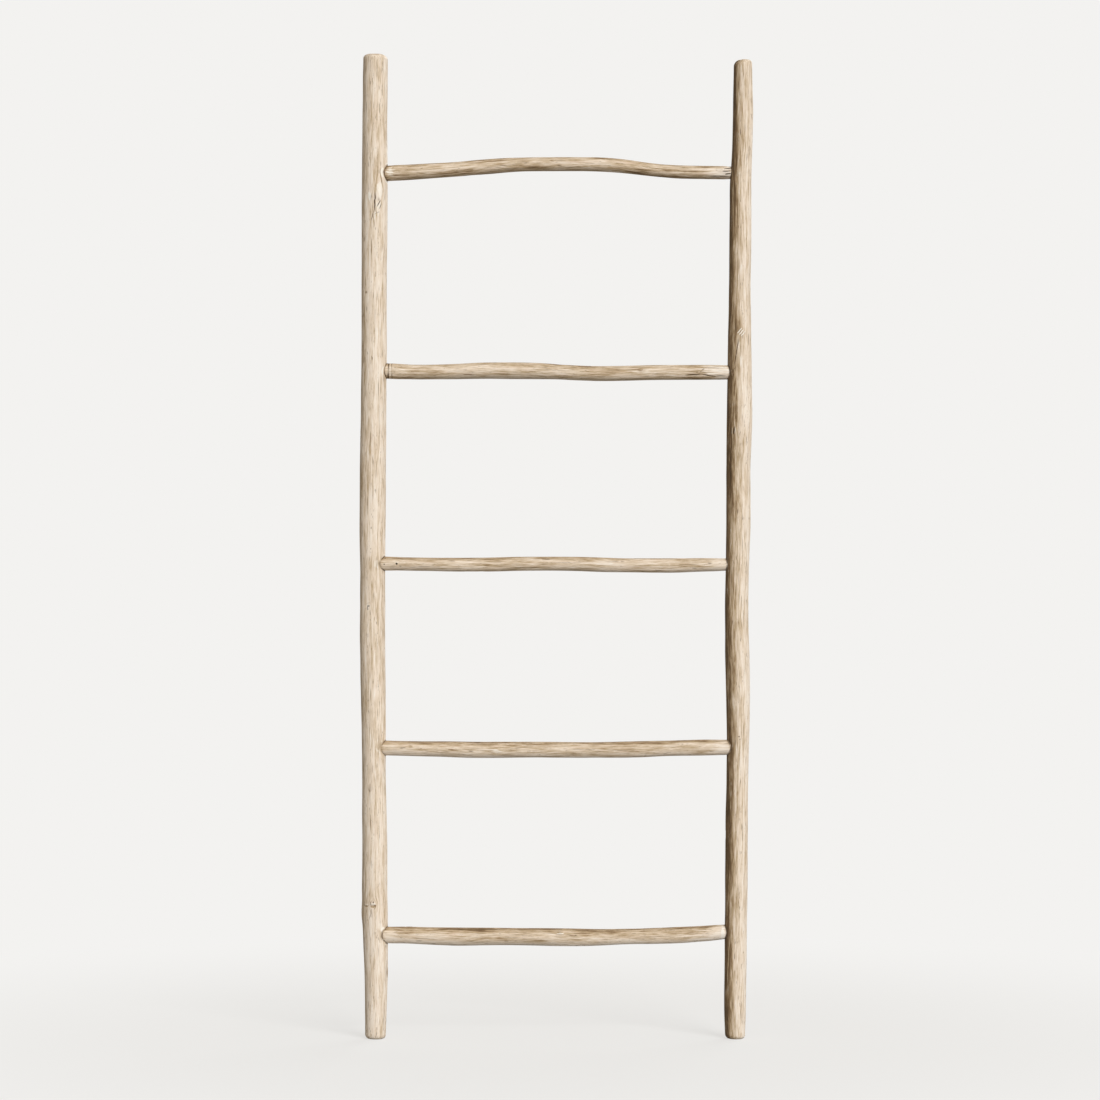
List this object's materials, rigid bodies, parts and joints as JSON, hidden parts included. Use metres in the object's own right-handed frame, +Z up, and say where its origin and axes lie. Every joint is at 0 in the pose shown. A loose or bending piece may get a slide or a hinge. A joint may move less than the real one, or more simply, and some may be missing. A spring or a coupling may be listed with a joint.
{
  "type": "branch ladder rack",
  "caption": "Free-leaning ladder rack of peeled natural branches for hanging quilts, throws and towels: two round uprights joined by round rungs with pegged tenons.",
  "frame": {"origin": "on the floor, midway between the two feet and midway between front and back", "axes": "+Z up along the stiles, +X along the rungs from the left stile to the right one, -Y the front that faces the room"},
  "size_m": [0.5986, 0.043, 1.5],
  "materials": {
    "stile_wood": "matte",
    "rung_wood": "matte",
    "peg_wood": "matte"
  },
  "bodies": {
    "root": {"left_stile": "stile_wood", "right_stile": "stile_wood", "top_rung": "rung_wood", "upper_rung": "rung_wood", "middle_rung": "rung_wood", "lower_rung": "rung_wood", "bottom_rung": "rung_wood", "top_rung_left_peg": "peg_wood", "top_rung_right_peg": "peg_wood", "upper_rung_left_peg": "peg_wood", "upper_rung_right_peg": "peg_wood", "middle_rung_left_peg": "peg_wood", "middle_rung_right_peg": "peg_wood", "lower_rung_left_peg": "peg_wood", "lower_rung_right_peg": "peg_wood", "bottom_rung_left_peg": "peg_wood", "bottom_rung_right_peg": "peg_wood"}
  },
  "joints": []
}
